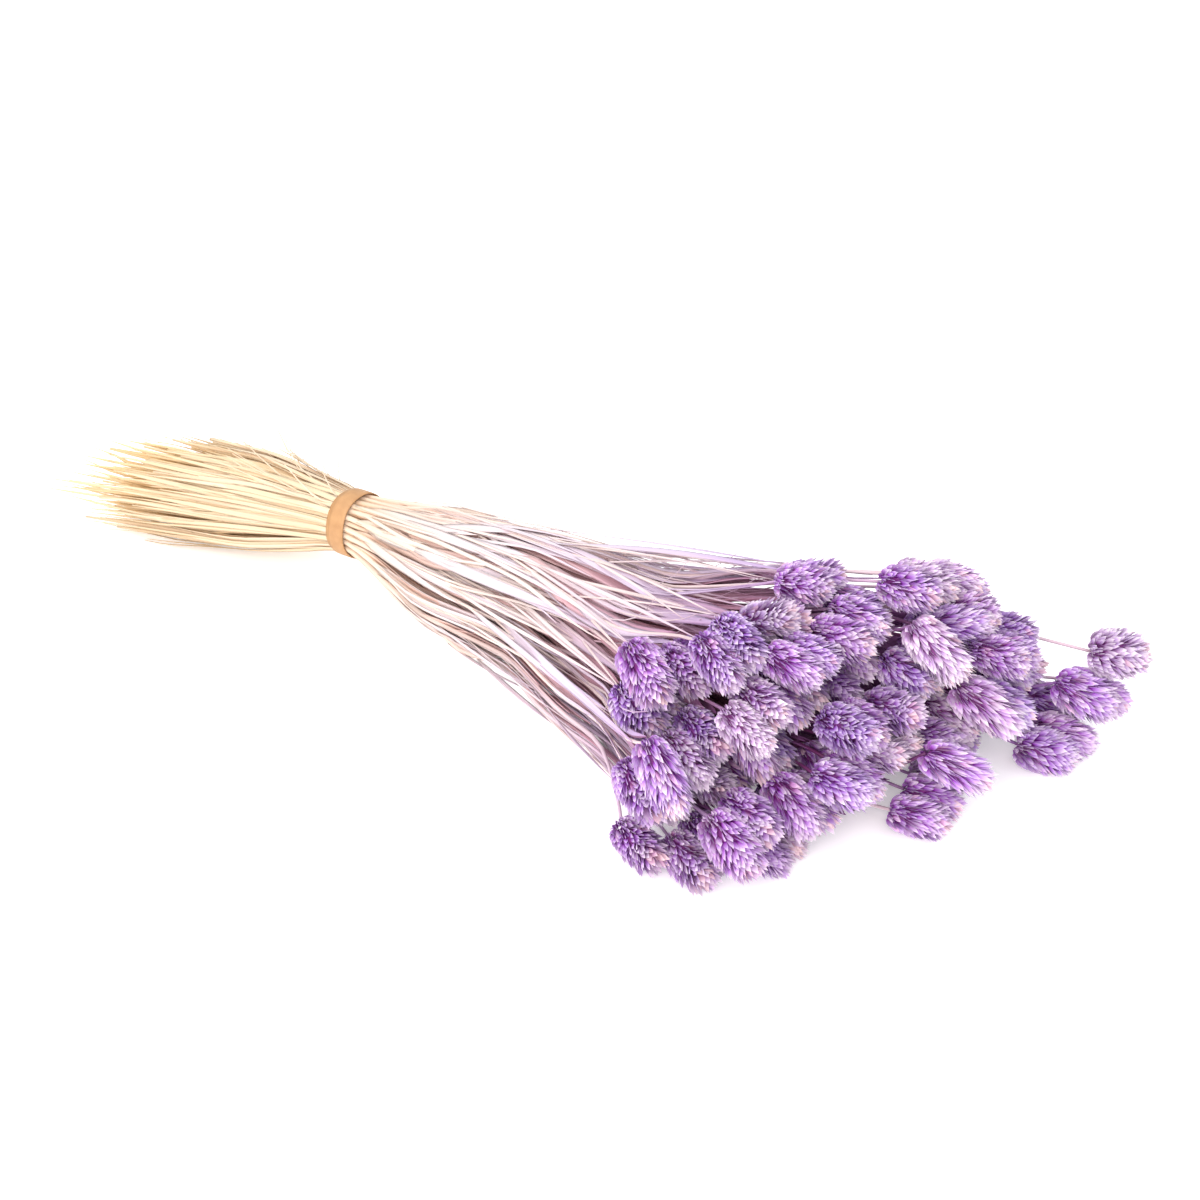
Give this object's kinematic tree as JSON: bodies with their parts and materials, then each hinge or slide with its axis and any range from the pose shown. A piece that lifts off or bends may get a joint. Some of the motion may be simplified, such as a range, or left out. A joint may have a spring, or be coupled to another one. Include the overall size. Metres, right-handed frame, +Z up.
{
  "type": "bundle of dried canary grass",
  "caption": "Bunch of dried, dyed canary grass lying on its side, with straw cut ends, a rubber band and a fan of ovoid seed heads.",
  "frame": {"origin": "on the surface the bunch lies on, under the middle of its bounding box", "axes": "+X along the bunch towards the seed heads, +Z up, cut ends at -X"},
  "size_m": [0.5634, 0.2232, 0.0994],
  "materials": {
    "band": "matte tan rubber",
    "stalks": "matte dried straw, undyed cream at the cut ends and pale lilac towards the heads",
    "heads": "matte papery glumes dyed lilac, whitish at the tips"
  },
  "bodies": {
    "root": {"rubber_band": "band", "stalks_layer_1": "stalks", "stalks_layer_2": "stalks", "stalks_layer_3": "stalks", "stalks_layer_4": "stalks", "stalks_layer_5": "stalks", "stalks_layer_6": "stalks", "stalks_layer_7": "stalks", "heads_01": "heads", "heads_02": "heads", "heads_03": "heads", "heads_04": "heads", "heads_05": "heads", "heads_06": "heads", "heads_07": "heads", "heads_08": "heads", "heads_09": "heads", "heads_10": "heads", "heads_11": "heads", "heads_12": "heads", "heads_13": "heads", "heads_14": "heads", "heads_15": "heads", "heads_16": "heads", "heads_17": "heads", "heads_18": "heads", "heads_19": "heads", "heads_20": "heads", "heads_21": "heads", "heads_22": "heads", "heads_23": "heads", "heads_24": "heads", "heads_25": "heads", "heads_26": "heads", "heads_27": "heads", "heads_28": "heads", "heads_29": "heads", "heads_30": "heads", "heads_31": "heads", "heads_32": "heads", "heads_33": "heads", "heads_34": "heads", "heads_35": "heads", "heads_36": "heads", "heads_37": "heads", "heads_38": "heads", "heads_39": "heads", "heads_40": "heads", "heads_41": "heads", "heads_42": "heads", "heads_43": "heads", "heads_44": "heads", "heads_45": "heads", "heads_46": "heads", "heads_47": "heads", "heads_48": "heads", "heads_49": "heads", "heads_50": "heads", "heads_51": "heads"}
  },
  "joints": []
}
